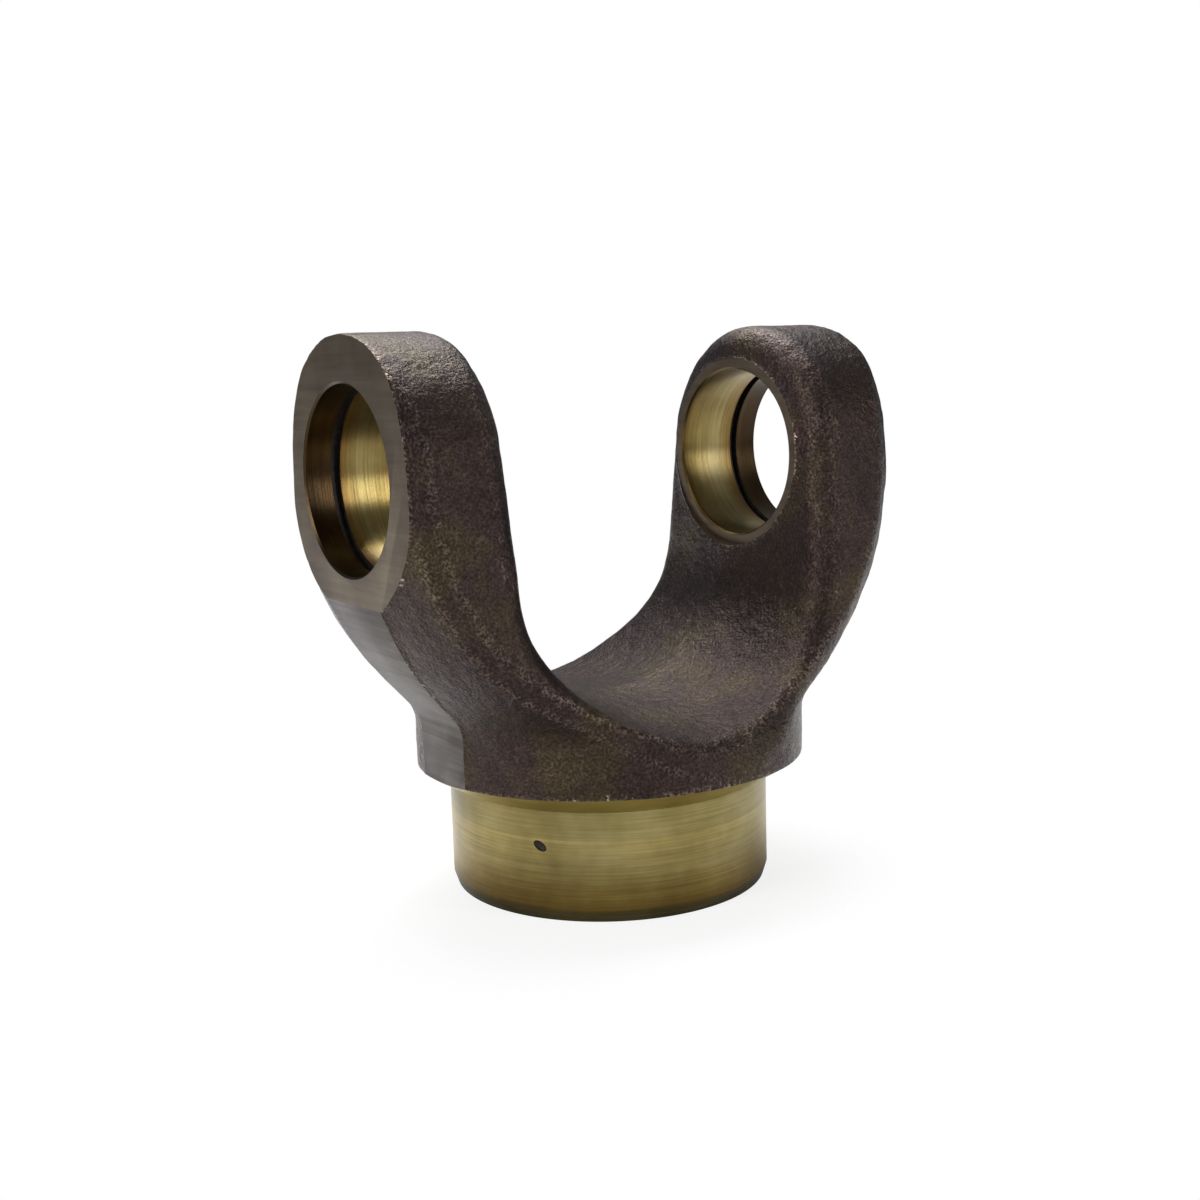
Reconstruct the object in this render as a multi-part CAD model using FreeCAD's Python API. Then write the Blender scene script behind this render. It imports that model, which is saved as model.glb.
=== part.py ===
import FreeCAD, Part
import math
import os

# A forged weld yoke for a drive shaft: one drop-forged and then machined piece.
# X runs along the bearing bores, Z along the hub, and the hub's end face lies on Z = 0.

# Machined sizes (mm)
BORE_R = 13.5            # for a 27 mm bearing cup
BORE_Z = 65.3            # height of the bore axis above the hub's end face
EAR_FACE_X = 43.05       # outer machined flat of each ear
SPOT_FACE_X = 26.9       # inner spot face around each bore
SPOT_FACE_R = 15.2
GROOVE_X = 37.3          # inner wall of the snap ring groove, half of the 74.6 mm cross
GROOVE_WIDTH = 1.5
GROOVE_R = 14.4
HUB_R = 25.1
HUB_TOP_Z = 16.6         # where the hub meets the weld bevel
HUB_RIM_HEIGHT = 1.7
HUB_RIM_INSET = 0.55
RECESS_R = 15.0          # blind recess in the hub's end
RECESS_DEPTH = 14.0

# Trimmed outer side of each leg (mm)
TRIM_X = 29.9            # half width at the shoulder
TRIM_TOP_X = 46.0        # where the trimmed side would end without the machined flat

# Forged form (mm, degrees)
PARTING_Y = -0.65        # the forging's parting plane lies this far off the machined axes
SHOULDER_R = 30.5
SHOULDER_Z = 19.8        # lower edge of the forged shoulder
EAR_SWING_R = 46.9       # round envelope of the ears about the hub axis
FOOT_Z = 26.5            # the shoulder ends and the legs start to lean outwards
FOOT_R = 6.0             # hollow arc from the shoulder into the leg
LEG_LEAN = 41.0          # steepest lean of the leg from upright
ROUND_IN_R = 44.0        # rounded arc from the leg into the ear
EAR_Z = 66.1
EAR_R = 19.7
LEG_FLARE = 5.0          # the legs widen downwards by this angle on each side
LEG_FOOT_Z = 43.0
LEG_FOOT_R = 24.0        # hollow arc from the leg's side into the shoulder
APRON_LEAN = 30.0        # slope of the shoulder's front and back under the saddle
SADDLE_Z = 29.8          # middle of the saddle between the ears
SADDLE_R = 27.5
SADDLE_TURN = 45.0       # the saddle's arc runs this far to each side
GAP_CORNER_R = 18.0
GAP_LEAN = 3.2           # the ears' inner sides lean outwards by this angle
GAP_DRAFT = 6.0          # draft of the gap away from the parting plane
CREST_R = 20.0           # the gap's walls turn over the parting plane with this rounding
RIM_R = 4.5              # forged rounding of the gap's edges
FLANK_BREAK = 2.0        # corner break where the legs' sides meet the swing envelope

# Rough sizes that only have to clear the part (mm)
REACH = 40.0
TALL = 100.0
BLOCK_X = 60.0


def vec(x, y, z):
    return FreeCAD.Vector(x, y, z)


def line(a, b):
    return Part.LineSegment(a, b).toShape()


def arc(a, middle, b):
    return Part.Arc(a, middle, b).toShape()


def flaring_side(foot_x, widest_x, at):
    """Edges from an upright foot through a hollow arc and a lean into an upright top."""
    lean = math.radians(LEG_LEAN)

    def on_hollow(angle):
        return at(foot_x + FOOT_R * (1 - math.cos(angle)), FOOT_Z + FOOT_R * math.sin(angle))

    hollow_x = foot_x + FOOT_R * (1 - math.cos(lean))
    hollow_z = FOOT_Z + FOOT_R * math.sin(lean)
    round_x = widest_x - ROUND_IN_R * (1 - math.cos(lean))
    round_z = hollow_z + (round_x - hollow_x) / math.tan(lean)
    top_z = round_z + ROUND_IN_R * math.sin(lean)

    def on_round(angle):
        return at(widest_x - ROUND_IN_R * (1 - math.cos(angle)), top_z - ROUND_IN_R * math.sin(angle))

    return [
        arc(on_hollow(0), on_hollow(lean / 2), on_hollow(lean)),
        line(on_hollow(lean), on_round(lean)),
        arc(on_round(lean), on_round(lean / 2), on_round(0)),
        line(on_round(0), at(widest_x, TALL)),
    ]


def closed_face(edges):
    wire = Part.Wire(Part.__sortEdges__(edges))
    return Part.Face(wire)


def swing_envelope():
    """Shoulder, legs and ears as turned about the hub axis, with the weld bevel below."""
    def at(x, z):
        return vec(x, PARTING_Y, z)

    edges = flaring_side(SHOULDER_R, EAR_SWING_R, at)
    edges += [
        line(at(0, HUB_TOP_Z), at(HUB_R, HUB_TOP_Z)),
        line(at(HUB_R, HUB_TOP_Z), at(SHOULDER_R, SHOULDER_Z)),
        line(at(SHOULDER_R, SHOULDER_Z), at(SHOULDER_R, FOOT_Z)),
        line(at(EAR_SWING_R, TALL), at(0, TALL)),
        line(at(0, TALL), at(0, HUB_TOP_Z)),
    ]
    return closed_face(edges).revolve(at(0, 0), vec(0, 0, 1), 360)


def side_block():
    """The outline seen along the bores: ear arc, flaring legs and a sloping apron below."""
    flare = math.radians(LEG_FLARE)
    apron = math.radians(APRON_LEAN)
    ear_side = (EAR_R * math.cos(flare), EAR_Z + EAR_R * math.sin(flare))
    foot_y = ear_side[0] + (ear_side[1] - LEG_FOOT_Z) * math.tan(flare)
    centre = (
        foot_y + LEG_FOOT_R * math.cos(flare),
        LEG_FOOT_Z + LEG_FOOT_R * math.sin(flare),
    )

    def on_hollow(angle, at):
        return at(centre[0] - LEG_FOOT_R * math.cos(angle), centre[1] - LEG_FOOT_R * math.sin(angle))

    hollow_end = (centre[0] - LEG_FOOT_R * math.cos(apron), centre[1] - LEG_FOOT_R * math.sin(apron))
    low_z = hollow_end[1] - (REACH - hollow_end[0]) / math.tan(apron)
    edges = []
    for side in (1, -1):
        def at(y, z):
            return vec(-BLOCK_X, PARTING_Y + side * y, z)

        crown = at(0, EAR_Z + EAR_R)
        shoulder_point = at(EAR_R * math.sin(math.radians(45)), EAR_Z + EAR_R * math.cos(math.radians(45)))
        edges += [
            arc(at(*ear_side), shoulder_point, crown),
            line(at(*ear_side), on_hollow(flare, at)),
            arc(on_hollow(flare, at), on_hollow((flare + apron) / 2, at), on_hollow(apron, at)),
            line(on_hollow(apron, at), at(REACH, low_z)),
            line(at(REACH, low_z), at(0, low_z)),
        ]
    return closed_face(edges).extrude(vec(2 * BLOCK_X, 0, 0))


def flat_sided(low, high):
    """A solid with flat sides between two polygons of as many corners."""
    loops = [low, high]
    for i in range(len(low)):
        j = (i + 1) % len(low)
        loops.append([low[i], low[j], high[j], high[i]])
    faces = [Part.Face(Part.makePolygon(loop + loop[:1])) for loop in loops]
    return Part.makeSolid(Part.makeShell(faces))


def at_turn(centre, angle, length, y):
    """The point a length away from a centre (x, z), turned up from straight below it."""
    return vec(centre[0] + length * math.sin(angle), y, centre[1] - length * math.cos(angle))


def drafted_arc(centre, radius, start, end, side):
    """A slice of a cone about a centre (x, z), widening away from the parting plane."""
    far_y = PARTING_Y + side * REACH
    far_radius = radius + REACH * math.tan(math.radians(GAP_DRAFT))
    cone = Part.makeCone(radius, far_radius, REACH, vec(centre[0], PARTING_Y, centre[1]), vec(0, side, 0))
    wedge = []
    for y in (PARTING_Y, far_y):
        wedge.append([
            vec(centre[0], y, centre[1]),
            at_turn(centre, start, BLOCK_X, y),
            at_turn(centre, (start + end) / 2, 2 * BLOCK_X, y),
            at_turn(centre, end, BLOCK_X, y),
        ])
    return cone.common(flat_sided(*wedge))


def half_gap(side):
    """One half of the gap: saddle, two corners and the space between the flat walls."""
    turn = math.radians(SADDLE_TURN)
    upright = math.radians(90 - GAP_LEAN)
    middle = (0, SADDLE_Z + SADDLE_R)
    corner = at_turn(middle, turn, SADDLE_R - GAP_CORNER_R, 0)
    walls = []
    for depth in (0, REACH):
        y = PARTING_Y + side * depth
        radius = GAP_CORNER_R + depth * math.tan(math.radians(GAP_DRAFT))
        low = at_turn((corner.x, corner.z), upright, radius, y)
        top_x = low.x + (TALL - low.z) * math.tan(math.radians(GAP_LEAN))
        right = [vec(corner.x, y, corner.z), low, vec(top_x, y, TALL)]
        left = [vec(-point.x, y, point.z) for point in reversed(right)]
        walls.append([vec(0, y, middle[1])] + right + left)
    saddle = drafted_arc(middle, SADDLE_R, -turn, turn, side)
    right_corner = drafted_arc((corner.x, corner.z), GAP_CORNER_R, turn, upright, side)
    left_corner = drafted_arc((-corner.x, corner.z), GAP_CORNER_R, -turn, -upright, side)
    return saddle.multiFuse([flat_sided(*walls), right_corner, left_corner]).removeSplitter()


def gap():
    """The open space between the ears, drafted both ways from the parting plane."""
    return half_gap(1).fuse(half_gap(-1))


def lies_on(edge, surface):
    """True where points along the edge touch the surface."""
    length = edge.LastParameter - edge.FirstParameter
    for share in (0.2, 0.5, 0.8):
        point = Part.Vertex(edge.valueAt(edge.FirstParameter + share * length))
        if point.distToShape(surface)[0] > 0.001:
            return False
    return True


def rounded_fork():
    """The side block opened by the gap, with its parting crest and its rims rounded."""
    block = side_block()
    opening = gap()
    fork = block.cut(opening).Solids[0]
    crest = []
    for edge in fork.Edges:
        box = edge.BoundBox
        in_parting_plane = box.YLength < 0.001 and abs(box.YMin - PARTING_Y) < 0.001
        if in_parting_plane and lies_on(edge, opening.Shells[0]):
            crest.append(edge)
    fork = fork.makeFillet(CREST_R, crest)
    rims = []
    for edge in fork.Edges:
        box = edge.BoundBox
        clear_of_ends = max(abs(box.XMin), abs(box.XMax)) < BLOCK_X - 1
        if clear_of_ends and box.ZMin > HUB_TOP_Z and lies_on(edge, block.Shells[0]):
            rims.append(edge)
    return fork.makeFillet(RIM_R, rims)


def forging():
    """The fork inside its swing envelope, with the legs' outer edges broken."""
    swing = swing_envelope()
    body = rounded_fork().common(swing).Solids[0]
    block = side_block().Shells[0]
    flanks = []
    for edge in body.Edges:
        if edge.BoundBox.ZMin > FOOT_Z - 1 and lies_on(edge, swing.Shells[0]) and lies_on(edge, block):
            flanks.append(edge)
    return body.makeChamfer(FLANK_BREAK, flanks)


def trimmed_outline():
    """Flat trimmed outer sides of the legs, straight across the forging."""
    def right(x, z):
        return vec(x, -REACH, z)

    def left(x, z):
        return vec(-x, -REACH, z)

    edges = flaring_side(TRIM_X, TRIM_TOP_X, right) + flaring_side(TRIM_X, TRIM_TOP_X, left)
    edges += [
        line(right(TRIM_X, FOOT_Z), right(TRIM_X, 0)),
        line(right(TRIM_X, 0), left(TRIM_X, 0)),
        line(left(TRIM_X, 0), left(TRIM_X, FOOT_Z)),
        line(left(TRIM_TOP_X, TALL), right(TRIM_TOP_X, TALL)),
    ]
    return closed_face(edges).extrude(vec(0, 2 * REACH, 0))


def along_bore(radius, start_x, length):
    return Part.makeCylinder(radius, length, vec(start_x, 0, BORE_Z), vec(1, 0, 0))


def machined_ears(body):
    """Outer flats, inner spot faces, bores and snap ring grooves."""
    body = body.common(Part.makeBox(2 * EAR_FACE_X, 2 * REACH, TALL, vec(-EAR_FACE_X, -REACH, 0)))
    body = body.cut(along_bore(SPOT_FACE_R, -SPOT_FACE_X, 2 * SPOT_FACE_X))
    body = body.cut(along_bore(BORE_R, -BLOCK_X, 2 * BLOCK_X))
    body = body.cut(along_bore(GROOVE_R, GROOVE_X, GROOVE_WIDTH))
    return body.cut(along_bore(GROOVE_R, -GROOVE_X - GROOVE_WIDTH, GROOVE_WIDTH))


def hub():
    """Turned weld spigot with a small rim bevel."""
    rim = HUB_R - HUB_RIM_INSET
    bevel = Part.makeCone(rim, HUB_R, HUB_RIM_HEIGHT)
    barrel = Part.makeCylinder(HUB_R, HUB_TOP_Z - HUB_RIM_HEIGHT, vec(0, 0, HUB_RIM_HEIGHT))
    return bevel.fuse(barrel)


def recess():
    """Blind recess in the hub's end."""
    return Part.makeCylinder(RECESS_R, RECESS_DEPTH)


def yoke():
    body = forging().common(trimmed_outline())
    body = machined_ears(body)
    body = body.fuse(hub()).removeSplitter()
    return body.cut(recess()).Solids[0]


if __name__ == "__main__":
    os.makedirs("parts", exist_ok=True)
    yoke().exportStep("parts/yoke.step")
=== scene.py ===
import math

import bmesh
import bpy
from mathutils import Matrix, Vector, noise


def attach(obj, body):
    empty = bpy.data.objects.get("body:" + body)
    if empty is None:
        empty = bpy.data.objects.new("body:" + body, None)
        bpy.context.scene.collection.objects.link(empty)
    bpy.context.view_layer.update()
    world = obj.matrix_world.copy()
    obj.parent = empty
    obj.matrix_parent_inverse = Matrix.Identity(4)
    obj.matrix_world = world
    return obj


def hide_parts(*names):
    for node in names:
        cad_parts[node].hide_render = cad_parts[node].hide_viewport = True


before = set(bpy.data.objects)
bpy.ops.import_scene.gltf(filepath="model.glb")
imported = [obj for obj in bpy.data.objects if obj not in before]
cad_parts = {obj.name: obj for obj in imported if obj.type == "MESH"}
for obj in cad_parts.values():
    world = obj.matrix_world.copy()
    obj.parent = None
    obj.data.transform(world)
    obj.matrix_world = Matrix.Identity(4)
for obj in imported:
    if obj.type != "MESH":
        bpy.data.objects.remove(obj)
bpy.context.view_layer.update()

MM = 0.001

# Machined sizes of the yoke, in millimetres
BORE_R = 13.5
BORE_Z = 65.3
EAR_FACE_X = 43.05
SPOT_FACE_X = 26.9
SPOT_FACE_R = 15.35      # a touch over the drawn 15.2, so that no sliver of skin is left
GROOVE_X = 37.3
GROOVE_WIDTH = 1.5
GROOVE_R = 14.4
MOUTH_BREAK = 0.3
HUB_R = 25.1
HUB_TOP_Z = 16.6
HUB_RIM_HEIGHT = 1.7
HUB_RIM_INSET = 0.55
SHOULDER_R = 30.5
SHOULDER_Z = 19.8

# Outline of the sheared sides
TRIM_X = 29.9
TRIM_TOP_X = 46.0
FOOT_Z = 26.5
FOOT_R = 6.0
ROUND_IN_R = 44.0
LEG_LEAN = math.radians(41.0)

# Oval pit on the hub
PIT_HEADING = math.radians(-148.5)
PIT_Z = 11.26
PIT_TILT = math.radians(30.0)
PIT_HALF_SIZES = (0.5, 1.15, 0.7)    # into the hub, across it and up it
PIT_CENTRE_OUT = 0.1                 # its middle lies this far outside the barrel

# The blank before machining
STOCK = 0.6              # metal left on the blank for each cut to take off
BEVEL_STOCK = 1.4        # the same under the shoulder, whose forging lies off the turned axis
PLUG_R = 15.2            # fills the bore and its spot face
PLUG_START_X = 26.2
PLUG_DEPTH = 18.0

# Forged skin
VOXEL = 0.55             # facet size
SOFTENING_ROUNDS = 5     # rounds of smoothing that turn the corner breaks into roundings
SKIN_DROP = 0.12         # mean depth of the skin below the drawn form
SKIN_RELIEF = (          # size across, height, place in the noise: waves, lumps, pits
    (7.0, 0.14, (0, 0, 0)),
    (2.2, 0.07, (40, 0, 0)),
    (1.1, 0.035, (0, 70, 0)),
)

# Rough sizes that only have to clear the part
CLEAR = 60.0
TALL = 100.0

# How tool lines are drawn out, by the axis that they repeat along
LINE_STRETCH = {
    "X": (1.0, 0.02, 0.02),
    "Y": (1.0, 0.04, 1.0),
    "Z": (0.02, 0.02, 1.0),
}


def hex_colour(code):
    """An sRGB hex colour as linear RGBA."""
    parts = [int(code[i:i + 2], 16) / 255 for i in (1, 3, 5)]
    linear = [c / 12.92 if c <= 0.04045 else ((c + 0.055) / 1.055) ** 2.4 for c in parts]
    return (*linear, 1.0)


# ---------------------------------------------------------------- materials

def new_material(name):
    mat = bpy.data.materials.new(name)
    mat.use_nodes = True
    mat.node_tree.nodes.clear()
    return mat, mat.node_tree


def add(tree, kind, settings=None, **links):
    """Adds a node. Settings go on its properties or sockets, and links join other nodes to it:
    a link is named for its socket, or _N for the socket's number."""
    node = tree.nodes.new(kind)
    for key, value in (settings or {}).items():
        if isinstance(key, str) and key in node.bl_rna.properties:
            setattr(node, key, value)
        else:
            node.inputs[key].default_value = value
    for key, source in links.items():
        name = int(key[1:]) if key[1:].isdigit() else key.replace("_", " ")
        tree.links.new(source, node.inputs[name])
    return node


def ramp(tree, factor, stops, interpolation="LINEAR"):
    """A colour ramp through the given (position, colour) stops."""
    node = add(tree, "ShaderNodeValToRGB", _0=factor)
    node.color_ramp.interpolation = interpolation
    elements = node.color_ramp.elements
    elements[0].position, elements[0].color = stops[0]
    elements[1].position, elements[1].color = stops[-1]
    for position, colour in stops[1:-1]:
        elements.new(position).color = colour
    return node.outputs["Color"]


def grey(value):
    return (value, value, value, 1.0)


def object_position(tree):
    return add(tree, "ShaderNodeTexCoord").outputs["Object"]


def forged_scale():
    """Hot-forged steel under its own oxide scale: dark brown, sandy, and lighter on its ridges, partly scale
    rubbed off and partly a painted highlight.
    """
    mat, tree = new_material("forged_scale")
    where = object_position(tree)
    grain = add(tree, "ShaderNodeTexNoise", {"Scale": 2600.0, "Detail": 3.0, "Roughness": 0.6},
                Vector=where)
    lumps = add(tree, "ShaderNodeTexNoise", {"Scale": 620.0, "Detail": 2.0, "Roughness": 0.55},
                Vector=where)
    patches = add(tree, "ShaderNodeTexNoise", {"Scale": 75.0, "Detail": 4.0, "Roughness": 0.6},
                  Vector=where)
    tint = ramp(tree, patches.outputs["Fac"], [
        (0.35, hex_colour("#2c2221")),
        (0.5, hex_colour("#332824")),
        (0.62, hex_colour("#393023")),
    ])
    speck = ramp(tree, grain.outputs["Fac"], [
        (0.36, grey(0.6)),
        (0.52, grey(1.0)),
        (0.68, grey(1.7)),
    ])
    sandy = add(tree, "ShaderNodeMix", {"data_type": "RGBA", "blend_type": "MULTIPLY", 0: 1.0},
                _6=tint, _7=speck)
    # Lighter colour on convex ridges: partly scale rubbed off, partly a painted highlight standing in for
    # light catching the ridges.
    edge = add(tree, "ShaderNodeNewGeometry").outputs["Pointiness"]
    ridge_wear_and_highlight = add(tree, "ShaderNodeMapRange", {"From Min": 0.505, "From Max": 0.56}, Value=edge)
    sparkle = add(tree, "ShaderNodeMapRange", {"From Min": 0.45, "From Max": 0.62},
                  Value=grain.outputs["Fac"])
    ridge_rub_and_highlight = add(tree, "ShaderNodeMath", {"operation": "MULTIPLY"},
                 _0=ridge_wear_and_highlight.outputs["Result"], _1=sparkle.outputs["Result"])
    colour = add(tree, "ShaderNodeMix", {"data_type": "RGBA", 7: hex_colour("#a08f80")},
                 _0=ridge_rub_and_highlight.outputs["Value"], _6=sandy.outputs[2])
    relief = add(tree, "ShaderNodeMath", {"operation": "MULTIPLY_ADD", 1: 0.6},
                 _0=grain.outputs["Fac"], _2=lumps.outputs["Fac"])
    bump = add(tree, "ShaderNodeBump", {"Strength": 0.8, "Distance": 0.0004},
               Height=relief.outputs["Value"])
    gloss = add(tree, "ShaderNodeMapRange",
                {"From Min": 0.3, "From Max": 0.7, "To Min": 0.5, "To Max": 0.3},
                Value=grain.outputs["Fac"])
    shader = add(tree, "ShaderNodeBsdfPrincipled", {"Metallic": 0.9},
                 Base_Color=colour.outputs[2], Roughness=gloss.outputs["Result"],
                 Normal=bump.outputs["Normal"])
    add(tree, "ShaderNodeOutputMaterial", Surface=shader.outputs["BSDF"])
    return mat


def painted_shade_along(tree, where, colour, axis, shade_bands):
    """A colour darkened by its distance along one axis, through (millimetres, tone) pairs: painted light and
    shade along that axis.
    """
    split = add(tree, "ShaderNodeSeparateXYZ", _0=where)
    along = add(tree, "ShaderNodeMath", {"operation": "ABSOLUTE"}, _0=split.outputs[axis])
    start, end = shade_bands[0][0], shade_bands[-1][0]
    share = add(tree, "ShaderNodeMapRange", {"From Min": start * MM, "From Max": end * MM},
                Value=along.outputs["Value"])
    stops = [((mm - start) / (end - start), hex_colour(code)) for mm, code in shade_bands]
    tone = ramp(tree, share.outputs["Result"], stops)
    mix = add(tree, "ShaderNodeMix", {"data_type": "RGBA", "blend_type": "MULTIPLY", 0: 1.0},
              _6=colour, _7=tone)
    return mix.outputs[2]


def oiled_steel(name, tones, line_axis, line_scale, line_depth, rough, shade_bands=None):
    """Machined steel under a thin preservative film: tool lines and soft stains in three tones, and, where
    given, painted light and shade in tones along the tool-line axis.
    """
    mat, tree = new_material(name)
    where = object_position(tree)
    drawn_out = add(tree, "ShaderNodeMapping", {"Scale": LINE_STRETCH[line_axis]}, Vector=where)
    lines = add(tree, "ShaderNodeTexNoise", {"Scale": line_scale, "Detail": 3.0, "Roughness": 0.7},
                Vector=drawn_out.outputs["Vector"])
    stain = add(tree, "ShaderNodeTexNoise", {"Scale": 60.0, "Detail": 4.0, "Roughness": 0.6},
                Vector=where)
    share = add(tree, "ShaderNodeMath", {"operation": "MULTIPLY", 1: 0.65}, _0=stain.outputs["Fac"])
    blend = add(tree, "ShaderNodeMath", {"operation": "MULTIPLY_ADD", 1: 0.35},
                _0=lines.outputs["Fac"], _2=share.outputs["Value"])
    colour = ramp(tree, blend.outputs["Value"], [
        (0.36, hex_colour(tones[0])),
        (0.5, hex_colour(tones[1])),
        (0.62, hex_colour(tones[2])),
    ])
    # Optional painted light and shade, laid along the tool-line axis
    if shade_bands:
        colour = painted_shade_along(tree, where, colour, line_axis, shade_bands)
    bump = add(tree, "ShaderNodeBump", {"Strength": line_depth, "Distance": 0.00008},
               Height=lines.outputs["Fac"])
    shader = add(tree, "ShaderNodeBsdfPrincipled", {"Metallic": 0.85, "Roughness": rough},
                 Base_Color=colour, Normal=bump.outputs["Normal"])
    add(tree, "ShaderNodeOutputMaterial", Surface=shader.outputs["BSDF"])
    return mat


def groove_shade_steel():
    """The ring grooves and the pit: rough walls, painted nearly black as shade in the recesses."""
    mat, tree = new_material("grooved_steel")
    where = object_position(tree)
    shade_noise = add(tree, "ShaderNodeTexNoise", {"Scale": 900.0, "Detail": 2.0}, Vector=where)
    # Painted shade: nearly black colour inside the grooves and the pit
    colour = ramp(tree, shade_noise.outputs["Fac"], [
        (0.35, hex_colour("#15110d")),
        (0.7, hex_colour("#2c251c")),
    ])
    shader = add(tree, "ShaderNodeBsdfPrincipled", {"Metallic": 0.5, "Roughness": 0.6},
                 Base_Color=colour)
    add(tree, "ShaderNodeOutputMaterial", Surface=shader.outputs["BSDF"])
    return mat


# The forged body: the dark, sandy main impression
FORGED = forged_scale()

# Trimmed sides: grey, satin, with streaks straight across the leg
SHEARED = oiled_steel("sheared_steel", ("#3b3634", "#4b4643", "#625d59"), "Y", 900.0, 0.5, 0.5)

# Ear flats and spot faces: taupe, finer lines, a little glossier
FACED = oiled_steel("faced_steel", ("#4a3f33", "#5a4f41", "#6a5f4e"), "Y", 700.0, 0.25, 0.42)

# Bore walls: brassy oil film, left brightest deep inside, with painted shade darkening them towards both
# mouths and brown towards the outer mouth
BORED = oiled_steel("bored_steel", ("#6a5c34", "#85774a", "#9b8e64"), "X", 2600.0, 0.3, 0.28, [
    (26.9, "#a58f70"),
    (28.5, "#e8dcc0"),
    (34.0, "#ffffff"),
    (37.2, "#c9b08e"),
    (38.9, "#6d5a48"),
    (43.1, "#594a3d"),
])

# Hub: olive oil film with lathe lines; painted shade makes it darker and browner low down, with a grey rim
# band and a greyer top band
TURNED = oiled_steel("turned_steel", ("#6d6139", "#877a4b", "#9b8f62"), "Z", 2600.0, 0.3, 0.36, [
    (0.0, "#858a90"),
    (1.6, "#98968f"),
    (1.9, "#cbb68e"),
    (4.0, "#ecdfc0"),
    (8.0, "#ffffff"),
    (12.3, "#fffdf4"),
    (12.6, "#e9e9e6"),
    (16.6, "#e0e0de"),
])

# Weld bevel: the yellowest film, seen as a thin bright band under the shoulder
BEVELLED = oiled_steel("bevelled_steel", ("#8a7836", "#a08d45", "#b09f5a"), "Z", 2600.0, 0.3, 0.4)

# Ring grooves and pit: nearly black lines, painted shade in the recesses
GROOVED = groove_shade_steel()


# ---------------------------------------------------------------- geometry

def to_object(name, bm, materials):
    mesh = bpy.data.meshes.new(name)
    bm.to_mesh(mesh)
    bm.free()
    for mat in materials:
        mesh.materials.append(mat)
    obj = bpy.data.objects.new(name, mesh)
    bpy.context.scene.collection.objects.link(obj)
    return obj


def applied(obj):
    """The object with its modifiers worked into its mesh."""
    bpy.context.view_layer.update()
    ready = obj.evaluated_get(bpy.context.evaluated_depsgraph_get())
    mesh = bpy.data.meshes.new_from_object(ready)
    obj.modifiers.clear()
    obj.data = mesh
    return obj


def side_of(x):
    return 1 if x > 0 else -1


def forging_blank():
    """The yoke's own form with stock on every face that is cut, as one bmesh."""
    bm = bmesh.new()
    bm.from_mesh(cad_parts["yoke"].data)
    bmesh.ops.remove_doubles(bm, verts=bm.verts, dist=0.002 * MM)
    bm.normal_update()
    sides = []
    for face in bm.faces:
        centre = face.calc_center_median() / MM
        straight_across = abs(face.normal.y) < 0.02 and abs(face.normal.x) > 0.3
        if straight_across and abs(centre.x) > TRIM_X - 0.1 and centre.z > HUB_TOP_Z:
            if centre.x * face.normal.x > 0:
                sides.append(face)
    raised = bmesh.ops.extrude_face_region(bm, geom=sides)["geom"]
    bmesh.ops.delete(bm, geom=sides, context="FACES")
    for vert in [item for item in raised if isinstance(item, bmesh.types.BMVert)]:
        vert.co.x += side_of(vert.co.x) * STOCK * MM
    for vert in bm.verts:
        radius = math.hypot(vert.co.x, vert.co.y) / MM
        height = vert.co.z / MM
        if radius > HUB_R - HUB_RIM_INSET - 0.2 and height < SHOULDER_Z + 0.1:
            if height > HUB_TOP_Z - 0.1:
                vert.co.z -= BEVEL_STOCK * MM
            if height < HUB_TOP_Z + 0.1:
                grow = (HUB_R + STOCK) / radius
                vert.co.x *= grow
                vert.co.y *= grow
        if height < 0.05:
            vert.co.z -= STOCK * MM
    for side in (1, -1):
        middle = side * (PLUG_START_X + PLUG_DEPTH / 2) * MM
        place = Matrix.Translation((middle, 0, BORE_Z * MM)) @ Matrix.Rotation(math.pi / 2, 4, "Y")
        bmesh.ops.create_cone(bm, cap_ends=True, segments=96, radius1=PLUG_R * MM,
                              radius2=PLUG_R * MM, depth=PLUG_DEPTH * MM, matrix=place)
    return bm


def scaled_skin(obj):
    """Slight waves and lumps that hot forging leaves, pushed along the surface normal."""
    bm = bmesh.new()
    bm.from_mesh(obj.data)
    for _ in range(SOFTENING_ROUNDS):
        bmesh.ops.smooth_vert(bm, verts=bm.verts, factor=0.5,
                              use_axis_x=True, use_axis_y=True, use_axis_z=True)
    bm.normal_update()
    moves = []
    for vert in bm.verts:
        at = vert.co / MM
        heights = [noise.noise(at / size + Vector(shift)) * height for size, height, shift in SKIN_RELIEF]
        moves.append((sum(heights) - SKIN_DROP) * MM)
    for vert, move in zip(bm.verts, moves):
        vert.co += vert.normal * move
    bm.to_mesh(obj.data)
    bm.free()


def outline(bm, points, closed):
    """Verts and edges through (radius or x, z) points in the XZ plane."""
    verts = [bm.verts.new((x * MM, 0, z * MM)) for x, z in points]
    ends = verts[1:] + verts[:1] if closed else verts[1:]
    return verts, [bm.edges.new(pair) for pair in zip(verts, ends)]


def spun_cutter(name, points, materials, choose, turn=Matrix.Identity(4), steps=160):
    """A turned solid from its half profile, which starts and ends on the axis, set in place."""
    bm = bmesh.new()
    verts, edges = outline(bm, points, closed=False)
    bmesh.ops.spin(bm, geom=edges + verts, cent=(0, 0, 0), axis=(0, 0, 1), angle=2 * math.pi,
                   steps=steps, use_merge=True)
    bmesh.ops.remove_doubles(bm, verts=bm.verts, dist=0.0005 * MM)
    bmesh.ops.recalc_face_normals(bm, faces=bm.faces)
    for face in bm.faces:
        centre = face.calc_center_median() / MM
        face.material_index = choose(math.hypot(centre.x, centre.y), centre.z)
    bmesh.ops.transform(bm, matrix=turn, verts=bm.verts)
    return to_object(name, bm, materials)


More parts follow.
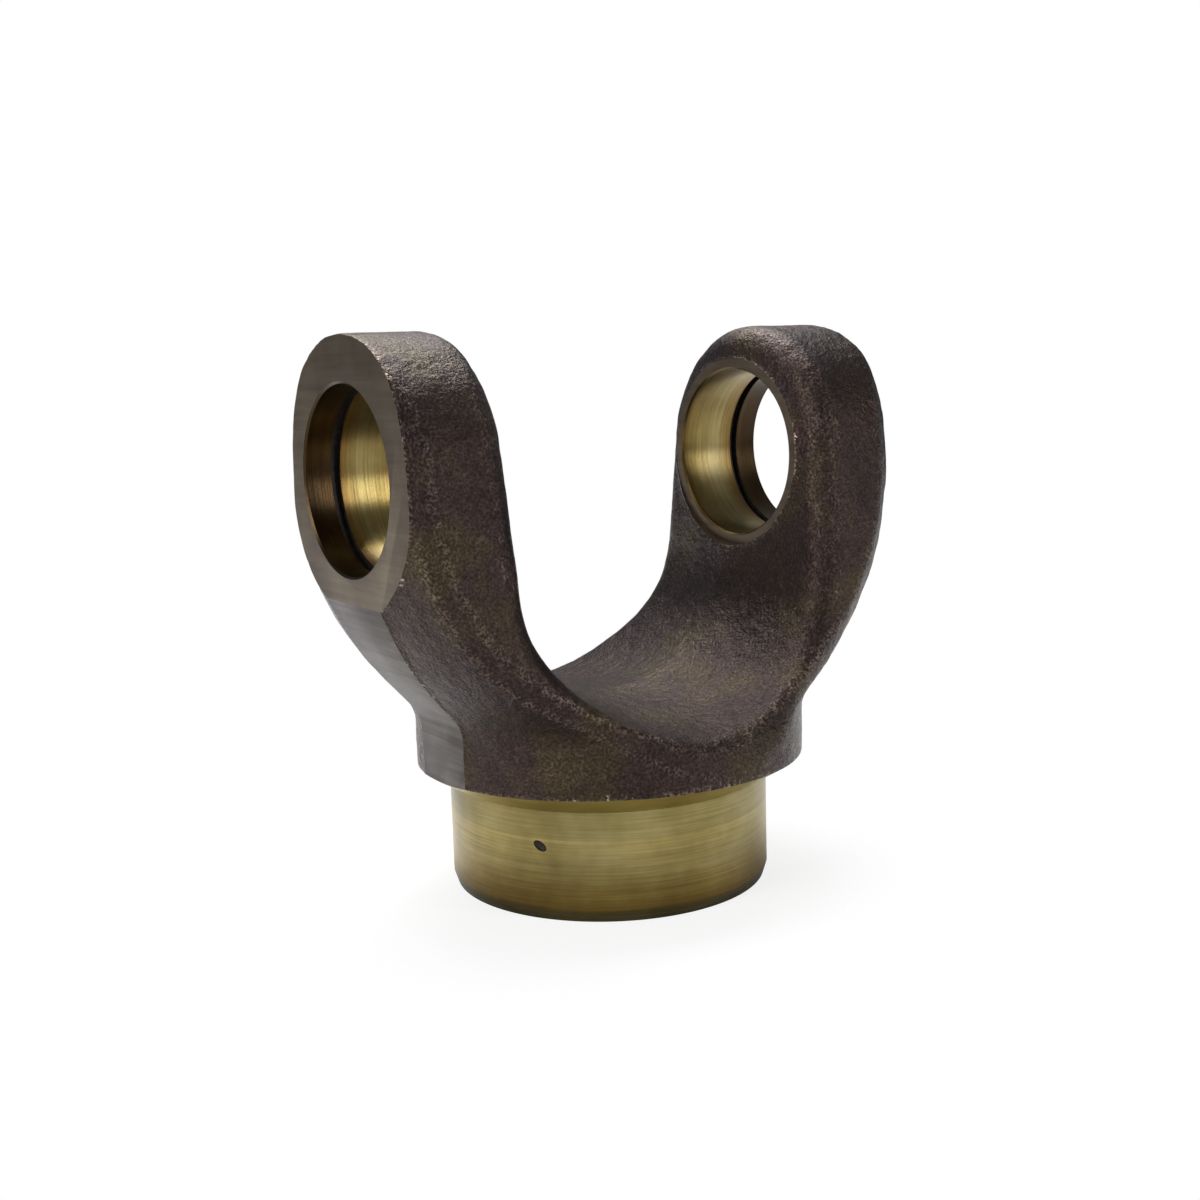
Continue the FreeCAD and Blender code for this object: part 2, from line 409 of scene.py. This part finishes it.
def lathe_cutter():
    """What the lathe takes off: end face, hub, rim bevel and the shoulder's weld bevel."""
    slope = (SHOULDER_Z - HUB_TOP_Z) / (SHOULDER_R - HUB_R)
    points = [
        (0.0, -5.0),
        (CLEAR, -5.0),
        (CLEAR, HUB_TOP_Z + slope * (CLEAR - HUB_R)),
        (HUB_R, HUB_TOP_Z),
        (HUB_R, HUB_RIM_HEIGHT),
        (HUB_R - HUB_RIM_INSET, 0.0),
        (0.0, 0.0),
    ]

    def choose(radius, z):
        return 1 if z > HUB_TOP_Z else 0

    return spun_cutter("lathe_cutter", points, [TURNED, BEVELLED], choose)


def bore_cutter(side):
    """One ear's boring bar: spot face, bore with broken mouths, ring groove."""
    points = [
        (0.0, 18.0),
        (SPOT_FACE_R, 18.0),
        (SPOT_FACE_R, SPOT_FACE_X),
        (BORE_R + MOUTH_BREAK, SPOT_FACE_X),
        (BORE_R, SPOT_FACE_X + MOUTH_BREAK),
        (BORE_R, GROOVE_X),
        (GROOVE_R, GROOVE_X),
        (GROOVE_R, GROOVE_X + GROOVE_WIDTH),
        (BORE_R, GROOVE_X + GROOVE_WIDTH),
        (BORE_R, EAR_FACE_X - MOUTH_BREAK),
        (BORE_R + MOUTH_BREAK + 1.0, EAR_FACE_X + 1.0),
        (0.0, EAR_FACE_X + 1.0),
    ]

    def choose(radius, z):
        if z < SPOT_FACE_X + 0.01:
            return 1
        in_groove = GROOVE_X - 0.01 < z < GROOVE_X + GROOVE_WIDTH + 0.01
        return 2 if in_groove and radius > BORE_R + 0.1 else 0

    turn = Matrix.Translation((0, 0, BORE_Z * MM)) @ Matrix.Rotation(side * math.pi / 2, 4, "Y")
    return spun_cutter("bore_cutter", points, [BORED, FACED, GROOVED], choose, turn)


def trimmed_profile(side):
    """The sheared side from below the shoulder to above the ear, as (x, z) points along its arcs."""
    foot = (TRIM_X + FOOT_R, FOOT_Z)
    foot_end = (TRIM_X + FOOT_R * (1 - math.cos(LEG_LEAN)), FOOT_Z + FOOT_R * math.sin(LEG_LEAN))
    round_x = TRIM_TOP_X - ROUND_IN_R * (1 - math.cos(LEG_LEAN))
    round_z = foot_end[1] + (round_x - foot_end[0]) / math.tan(LEG_LEAN)
    top = (TRIM_TOP_X - ROUND_IN_R, round_z + ROUND_IN_R * math.sin(LEG_LEAN))
    points = [(TRIM_X, 0.0)]
    for i in range(9):
        turn = LEG_LEAN * i / 8
        points.append((foot[0] - FOOT_R * math.cos(turn), foot[1] + FOOT_R * math.sin(turn)))
    for i in range(25):
        turn = LEG_LEAN * (1 - i / 24)
        points.append((top[0] + ROUND_IN_R * math.cos(turn), top[1] - ROUND_IN_R * math.sin(turn)))
    points += [(TRIM_TOP_X, TALL), (CLEAR, TALL), (CLEAR, 0.0)]
    return [(side * x, z) for x, z in points]


def side_cutter(name, points, mat):
    """What a cut straight across the part takes off, from its closed (x, z) outline."""
    bm = bmesh.new()
    verts, _ = outline(bm, points, closed=True)
    bmesh.ops.translate(bm, verts=verts, vec=(0, -CLEAR * MM, 0))
    grown = bmesh.ops.extrude_face_region(bm, geom=[bm.faces.new(verts)])["geom"]
    far_verts = [item for item in grown if isinstance(item, bmesh.types.BMVert)]
    bmesh.ops.translate(bm, verts=far_verts, vec=(0, 2 * CLEAR * MM, 0))
    bmesh.ops.recalc_face_normals(bm, faces=bm.faces)
    return to_object(name, bm, [mat])


def pit_cutter():
    """The one oval rolled-in flaw on the hub's barrel, longer than high and tilted down to the right."""
    bm = bmesh.new()
    bmesh.ops.create_icosphere(bm, subdivisions=4, radius=MM)
    out = Matrix.Translation(((HUB_R + PIT_CENTRE_OUT) * MM, 0, PIT_Z * MM))
    place = Matrix.Rotation(PIT_HEADING, 4, "Z") @ out
    shape = Matrix.Rotation(-PIT_TILT, 4, "X") @ Matrix.Diagonal((*PIT_HALF_SIZES, 1.0))
    bmesh.ops.transform(bm, matrix=place @ shape, verts=bm.verts)
    return to_object("pit_cutter", bm, [GROOVED])


def cut(obj, cutter):
    """Takes a cutter's solid off the object, which gets the cutter's materials on the cut."""
    modifier = obj.modifiers.new("cut", "BOOLEAN")
    modifier.operation = "DIFFERENCE"
    modifier.solver = "EXACT"
    modifier.material_mode = "TRANSFER"
    modifier.object = cutter
    applied(obj)
    bpy.data.objects.remove(cutter)


def yoke():
    """The forging after trimming, facing, turning and boring."""
    obj = to_object("yoke_forging", forging_blank(), [FORGED])
    remesh = obj.modifiers.new("skin", "REMESH")
    remesh.mode = "VOXEL"
    remesh.voxel_size = VOXEL * MM
    applied(obj)
    scaled_skin(obj)
    for side in (1, -1):
        cut(obj, side_cutter("trim_cutter", trimmed_profile(side), SHEARED))
        near, far = side * EAR_FACE_X, side * CLEAR
        flat = [(near, -10.0), (far, -10.0), (far, TALL), (near, TALL)]
        cut(obj, side_cutter("facing_cutter", flat, FACED))
    cut(obj, lathe_cutter())
    cut(obj, pit_cutter())
    for side in (1, -1):
        cut(obj, bore_cutter(side))
    obj.data.shade_smooth()
    obj.data.set_sharp_from_angle(angle=math.radians(32))
    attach(obj, "root")
    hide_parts("yoke")
    return obj


# ---------------------------------------------------------------- stage

def stage_floor():
    """White table that keeps the part's soft shadow and fades into the white surroundings."""
    mat, tree = new_material("white_table")
    path = add(tree, "ShaderNodeLightPath")
    paint = add(tree, "ShaderNodeBsdfDiffuse", {"Color": hex_colour("#f4f4f4")})
    glow = add(tree, "ShaderNodeEmission", {"Color": (1, 1, 1, 1), "Strength": 1.0})
    clear = add(tree, "ShaderNodeBsdfTransparent")
    share = add(tree, "ShaderNodeMath", {"operation": "MULTIPLY", 1: 0.82},
                _0=path.outputs["Is Camera Ray"])
    table = add(tree, "ShaderNodeMixShader", _0=share.outputs["Value"],
                _1=paint.outputs["BSDF"], _2=glow.outputs["Emission"])
    away = add(tree, "ShaderNodeVectorMath", {"operation": "LENGTH"}, _0=object_position(tree))
    fade = add(tree, "ShaderNodeMapRange",
               {"interpolation_type": "SMOOTHSTEP", "From Min": 0.028, "From Max": 0.06},
               Value=away.outputs["Value"])
    faded = add(tree, "ShaderNodeMath", {"operation": "MULTIPLY"},
                _0=fade.outputs["Result"], _1=path.outputs["Is Camera Ray"])
    below = add(tree, "ShaderNodeNewGeometry").outputs["Backfacing"]
    hidden = add(tree, "ShaderNodeMath", {"operation": "MAXIMUM"}, _0=faded.outputs["Value"], _1=below)
    both = add(tree, "ShaderNodeMixShader", _0=hidden.outputs["Value"],
               _1=table.outputs["Shader"], _2=clear.outputs["BSDF"])
    add(tree, "ShaderNodeOutputMaterial", Surface=both.outputs["Shader"])
    bm = bmesh.new()
    bmesh.ops.create_circle(bm, cap_ends=True, segments=96, radius=0.6)
    floor = to_object("floor", bm, [mat])


def studio_world():
    """Pure white behind the part, and a weak cool fill on it."""
    world = bpy.data.worlds.new("studio")
    bpy.context.scene.world = world
    world.use_nodes = True
    tree = world.node_tree
    tree.nodes.clear()
    path = add(tree, "ShaderNodeLightPath")
    seen = add(tree, "ShaderNodeBackground", {"Color": (1, 1, 1, 1), "Strength": 1.0})
    fill = add(tree, "ShaderNodeBackground", {"Color": hex_colour("#f4f6ff"), "Strength": 0.22})
    both = add(tree, "ShaderNodeMixShader", _0=path.outputs["Is Camera Ray"],
               _1=fill.outputs["Background"], _2=seen.outputs["Background"])
    add(tree, "ShaderNodeOutputWorld", Surface=both.outputs["Shader"])


def softbox(name, place, target, size, watts):
    data = bpy.data.lights.new(name, "AREA")
    data.shape = "RECTANGLE"
    data.size, data.size_y = size
    data.energy = watts
    lamp = bpy.data.objects.new(name, data)
    bpy.context.scene.collection.objects.link(lamp)
    lamp.location = place
    aim = Vector(target) - Vector(place)
    lamp.rotation_euler = aim.to_track_quat("-Z", "Y").to_euler()


def camera():
    """Lens and place of the view: eye point, its line of sight and a small roll."""
    heading, drop, roll = (math.radians(a) for a in (34.39, 9.04, -1.73))
    sight = Vector((math.sin(heading) * math.cos(drop), math.cos(heading) * math.cos(drop), -math.sin(drop)))
    right = Vector((math.cos(heading), -math.sin(heading), 0))
    up = right.cross(sight)
    tilted_right = math.cos(roll) * right + math.sin(roll) * up
    tilted_up = math.cos(roll) * up - math.sin(roll) * right
    eye = Vector((-0.52, 0, 43.67)) * MM - 239.99 * MM * sight
    data = bpy.data.cameras.new("camera")
    data.sensor_width = 36.0
    data.lens = 45.86
    data.clip_start = 0.01
    obj = bpy.data.objects.new("camera", data)
    bpy.context.scene.collection.objects.link(obj)
    turn = Matrix((tilted_right, tilted_up, -sight)).transposed()
    obj.matrix_world = Matrix.Translation(eye) @ turn.to_4x4()
    bpy.context.scene.camera = obj


yoke()
stage_floor()
studio_world()
softbox("overhead", (0.1, 0.25, 0.6), (0, 0, 0.05), (0.45, 0.45), 6.0)
softbox("left_front", (-0.6, -0.1, 0.3), (0, 0, 0.05), (0.2, 0.45), 3.2)
softbox("right_front", (0.35, -0.6, 0.25), (0, 0, 0.04), (0.12, 0.35), 1.8)
camera()
bpy.context.scene.view_settings.view_transform = "Standard"
